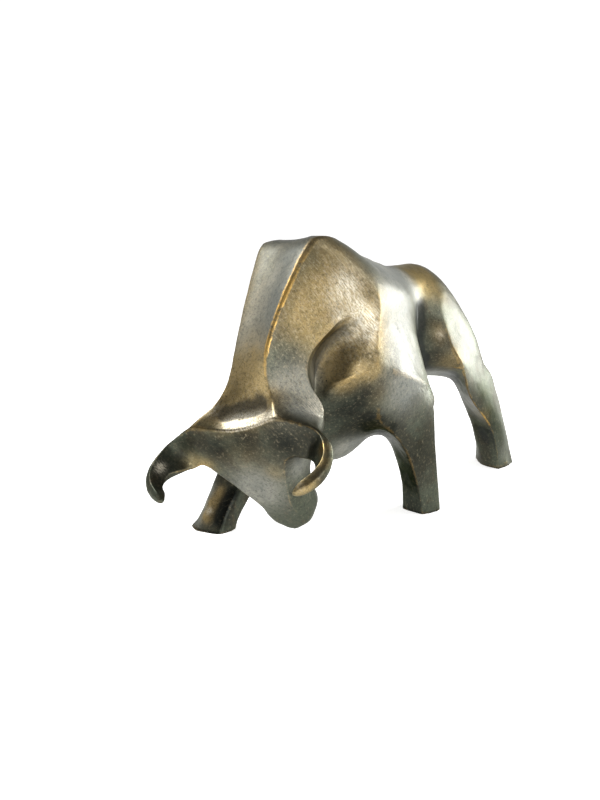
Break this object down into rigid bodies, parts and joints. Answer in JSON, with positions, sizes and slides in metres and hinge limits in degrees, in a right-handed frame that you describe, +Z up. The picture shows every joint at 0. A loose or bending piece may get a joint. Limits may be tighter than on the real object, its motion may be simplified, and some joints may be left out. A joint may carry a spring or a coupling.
{
  "type": "bull sculpture",
  "caption": "Stylised charging bull cast in one piece of dark bronze, head low and turned, horns curled, standing on its four feet.",
  "frame": {"origin": "on the floor, under the middle of the sculpture's bounding box", "axes": "+Z up from the floor, -Y the way the bull charges, +Y towards its tail, +X towards its left side"},
  "size_m": [0.1024, 0.2778, 0.1502],
  "materials": {
    "bronze": "dark brown and olive patina on cast bronze, worn golden on the ridges, satin"
  },
  "bodies": {
    "root": {"bull": "bronze"}
  },
  "joints": []
}
